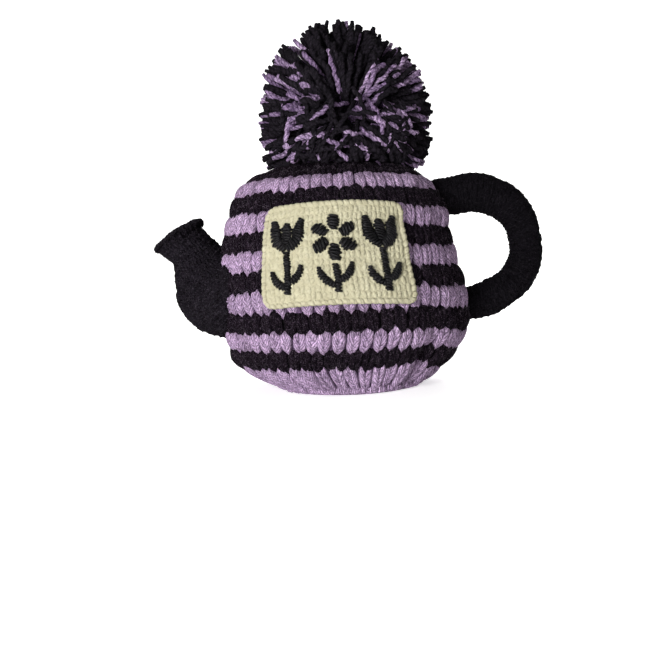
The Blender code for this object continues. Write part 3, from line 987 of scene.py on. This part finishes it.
def loose_strands(count):
    """Short hooked strands that lie every way over the lower part of the front and the back."""
    x = random.uniform(-0.050, 0.052, count)
    face = np.where(random.uniform(0, 1, count) < 0.5, -1.0, 1.0)
    z = random.uniform(-0.050, np.where(face > 0, 0.040, 0.002), count)
    depth = np.sqrt(np.clip(1 - (x / POMPOM_RADII[0]) ** 2 - (z / POMPOM_RADII[2]) ** 2, 0.03, None))
    rim = np.stack((x, face * POMPOM_RADII[1] * depth, z), -1)
    outward = unit(rim / POMPOM_RADII**2)
    sideways = np.sign(x) * random.uniform(-0.3, 1.2, count)
    upwards = random.normal(-0.55, 0.55, count)
    heading = np.stack((sideways, 0 * x, upwards), -1)
    heading = unit(heading - outward * (heading * outward).sum(-1, keepdims=True))
    reach = random.uniform(0.008, 0.017, count)[:, None]
    root = rim * 0.72 - heading * reach
    control = rim * 1.05 - heading * reach * 0.5
    end = rim * 0.95 + heading * reach * 1.1
    return bent_strand(root, control, end, 0.0012)


def strands(lines, radius):
    """Cut ends of yarn, a little thicker towards the end, with painted shade that darkens them towards the
    root.
    """
    count, steps, _ = lines.shape
    t = np.linspace(0, 1, steps)
    radii = radius * (0.78 + 0.26 * t)[None] * random.uniform(0.86, 1.14, count)[:, None]
    radii[:, -1] *= 0.70
    out = np.broadcast_to(np.array((0.13, 0.97, 0.21)), lines.shape)
    batch = tubes(lines, radii, out, STRAND_SIDES, plies=2, turn=0.0078)
    # Painted shade: strands are darker towards their roots, deep inside the pompom
    root_painted_shade = np.clip(1.5 * t - 0.2, 0.05, 1.0)
    batch["shade"] = (batch["shade"].reshape(count, steps, STRAND_SIDES) * root_painted_shade[None, :, None]).ravel()
    return batch


def pompom(lilac, dark):
    reseed(POMPOM_SEED)
    fan, fan_direction = fan_strands(FAN_STRANDS)
    loose = loose_strands(LOOSE_STRANDS)
    angle = around_tie(fan_direction)
    chance = np.zeros(len(angle))
    front = fan_direction[:, 1] < 0.25
    for middle, half_angle, share in LILAC_TUFTS:
        turn = (angle - middle + 180.0) % 360.0 - 180.0
        chance = np.maximum(chance, np.where(front & (np.abs(turn) < half_angle), share, 0.0))
    chance = np.where(~front & (field(fan_direction, 5) > 0.50), 0.8, chance)
    light = random.uniform(0, 1, len(angle)) < chance
    loose_light = random.uniform(0, 1, len(loose)) < 0.30
    light_strands = [strands(fan[light], 0.0018), strands(loose[loose_light], 0.0017)]
    dark_strands = [strands(fan[~light], 0.0020), strands(loose[~loose_light], 0.0019)]
    light_piece = yarn_piece("pompom_lilac", light_strands, lilac)
    dark_piece = yarn_piece("pompom_dark", dark_strands, dark)
    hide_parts("pompom")


# Loose fibres
def stray_fibres(pale):
    """Fine pale hairs that stand off the dark courses."""
    count = 2800
    course = random.choice([1, 3, 5, 7, 9, 11], count) + random.uniform(0.05, 0.95, count)
    azimuth = random.uniform(0, 2 * math.pi, count)
    start = body_point(course, azimuth, 0.0004)
    out = body_out(course, azimuth)
    heading = unit(random.normal(0, 1, (count, 3)) + out * 0.15)
    bend = random.normal(0, 1, (count, 3))
    length = random.uniform(0.002, 0.0055, count)[:, None, None]
    t = np.linspace(0, 1, 5)[None, :, None]
    flat = heading - out * (heading * out).sum(-1, keepdims=True) * 0.75
    curl = bend - out * (bend * out).sum(-1, keepdims=True)
    lines = start[:, None] + length * (flat[:, None] * t + 0.28 * curl[:, None] * t**2)
    lines = lines + out[:, None] * (0.0014 * np.sin(math.pi * t))
    lines[..., 2] = np.maximum(lines[..., 2], 0.0003)
    radii = np.full((count, 5), 0.000055)
    hairs = tubes(lines, radii, np.broadcast_to(out[:, None], lines.shape), 3)
    piece = yarn_piece("stray_fibres", [hairs], pale)


# Stage, lights and camera
def studio():
    backdrop = bpy.data.meshes.new("backdrop")
    profile = [(-2.2, 0.0), (1.0, 0.0)]
    for turn in np.linspace(0.1, math.pi / 2, 14):
        profile.append((1.0 + 0.8 * math.sin(turn), 0.8 - 0.8 * math.cos(turn)))
    profile += [(1.8, 3.0)]
    points = [(x, y, z) for y, z in profile for x in (-3.0, 3.0)]
    faces = [(2 * i, 2 * i + 1, 2 * i + 3, 2 * i + 2) for i in range(len(profile) - 1)]
    backdrop.from_pydata(points, [], faces)
    floor = studio_paint("floor", base=0.90, glow=0.56, roughness=0.9, specular=0.1)
    backdrop.materials.append(floor)
    backdrop.shade_smooth()
    stage = bpy.data.objects.new("backdrop", backdrop)
    bpy.context.scene.collection.objects.link(stage)

    surround()
    world = bpy.data.worlds.new("studio")
    world.use_nodes = True
    world.node_tree.nodes["Background"].inputs["Color"].default_value = (1.0, 0.97, 0.95, 1.0)
    world.node_tree.nodes["Background"].inputs["Strength"].default_value = 0.27
    bpy.context.scene.world = world
    for name, place, size, power in (
        ("key", (-0.60, -1.10, 0.09), 0.5, 39.0),
        ("back", (0.50, 1.20, 1.10), 0.9, 13.0),
    ):
        data = bpy.data.lights.new(name, "AREA")
        data.size = size
        data.energy = power
        light = bpy.data.objects.new(name, data)
        light.location = place
        aim = Vector((0.0, 0.0, 0.13)) - Vector(place)
        light.rotation_euler = aim.to_track_quat("-Z", "Y").to_euler()
        bpy.context.scene.collection.objects.link(light)


def surround():
    """A pale wall all round, far off. Only the camera sees it, so it leaves the light as it is."""
    sides = 48
    radius = 3.4
    points = []
    for height in (-0.1, 5.0):
        for side in range(sides):
            turn = 2 * math.pi * side / sides
            points.append((radius * math.cos(turn), radius * math.sin(turn), height))
    faces = [(side, (side + 1) % sides, sides + (side + 1) % sides, sides + side) for side in range(sides)]
    mesh = bpy.data.meshes.new("surround")
    mesh.from_pydata(points, [], faces)
    pale_wall = studio_paint("pale_wall", base=0.0, glow=1.0, roughness=0.5, specular=0.0)
    mesh.materials.append(pale_wall)
    wall = bpy.data.objects.new("surround", mesh)
    wall.visible_diffuse = False
    wall.visible_glossy = False
    wall.visible_shadow = False
    bpy.context.scene.collection.objects.link(wall)


def camera():
    """The photograph's view: nearly level, rolled a little."""
    data = bpy.data.cameras.new("camera")
    data.sensor_width = 36.0
    data.lens = 36.0 * 850.0 / 660.0
    view = bpy.data.objects.new("camera", data)
    place = Vector((-0.01463 + CENTRING[0], -0.680 + CENTRING[1], 0.084))
    tilt = math.atan(50.0 / 850.0)
    view.matrix_world = (
        Matrix.Translation(place)
        @ Euler((math.pi / 2 - tilt, 0.0, 0.0)).to_matrix().to_4x4()
        @ Matrix.Rotation(math.radians(-2.5), 4, "Z")
    )
    bpy.context.scene.collection.objects.link(view)
    bpy.context.scene.camera = view


def main():
    lilac = wool("lilac_wool", (0.760, 0.560, 0.815), (0.285, 0.186, 0.315), (0.020, 0.011, 0.024),
                 sheen=0.03, ply_groove_shade=0.9, clump_shade=0.62)
    dark = wool("dark_wool", (0.0105, 0.0066, 0.0112), (0.0030, 0.0018, 0.0036), (0.0004, 0.0003, 0.0005),
                sheen=0.005, hair_and_glint=0.60, hair_and_glint_colour=(0.096, 0.070, 0.097), shine=0.02)
    plum = wool("plum_wool", (0.0230, 0.0185, 0.0260), (0.0018, 0.0014, 0.0023), (0.0005, 0.0004, 0.0006),
                sheen=0.005, hair_and_glint=0.60, hair_and_glint_colour=(0.060, 0.052, 0.063), tone_share=0.55,
                ply_groove_shade=0.6, shine=0.02)
    black = wool("black_wool", (0.0105, 0.0088, 0.0118), (0.0028, 0.0024, 0.0034), (0.0006, 0.0005, 0.0008),
                 sheen=0.005, hair_and_glint=0.50, hair_and_glint_colour=(0.027, 0.024, 0.029), tone_share=0.55,
                 ply_groove_shade=0.6, shine=0.02)
    cream = wool("cream_wool", (0.385, 0.367, 0.270), (0.325, 0.306, 0.208), (0.235, 0.215, 0.138),
                 sheen=0.04, relief=0.0006, ply_groove_shade=0.22, clump_shade=0.26)
    thread = wool("black_thread", (0.017, 0.016, 0.018), (0.0024, 0.0022, 0.0028), (0.0004, 0.0004, 0.0005),
                  sheen=0.0, tone_share=0.60, relief=0.0002, ply_groove_shade=0.9, shine=0.09,
                  roughness=0.33, waver=0.6)
    tuft = wool("lilac_tuft", (0.620, 0.450, 0.690), (0.130, 0.078, 0.165), (0.014, 0.006, 0.022),
                sheen=0.03, tone_share=0.60, ply_groove_shade=0.78, waver=0.5)
    ink = wool("ink_wool", (0.0200, 0.0155, 0.0225), (0.0036, 0.0028, 0.0046), (0.0005, 0.0004, 0.0007),
               sheen=0.01, hair_and_glint=0.35, hair_and_glint_colour=(0.045, 0.039, 0.047), ply_groove_shade=0.9,
               shine=0.05, waver=0.5)
    pale = wool("pale_fibre", (0.230, 0.190, 0.230), (0.036, 0.027, 0.036), (0.030, 0.022, 0.030),
                relief=0.0001, tone_share=0.75)
    # Darker copies of the lilac and dark yarn: painted shade for the gaps between the stitches
    lilac_painted_gap_shade = wool("lilac_painted_gap_shade", (0.230, 0.145, 0.260), (0.095, 0.056, 0.110), (0.014, 0.008, 0.017),
                     sheen=0.0)
    dark_painted_gap_shade = wool("dark_painted_gap_shade", (0.0030, 0.0020, 0.0033), (0.0012, 0.0008, 0.0014), (0.0002, 0.0002, 0.0003),
                    sheen=0.0)

    light, deep = body_stitches(lilac, dark)
    cloth = body_cloth(lilac, dark, lilac_painted_gap_shade, dark_painted_gap_shade)
    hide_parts("body")

    knit = panel_stitches(cream)
    motif = embroidery(thread)
    backing = panel_cloth(cream)
    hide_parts("panel")

    spout(plum)
    handle(black)
    pompom(tuft, ink)
    stray_fibres(pale)
    studio()
    camera()
    bpy.context.scene.view_settings.view_transform = "Standard"


main()
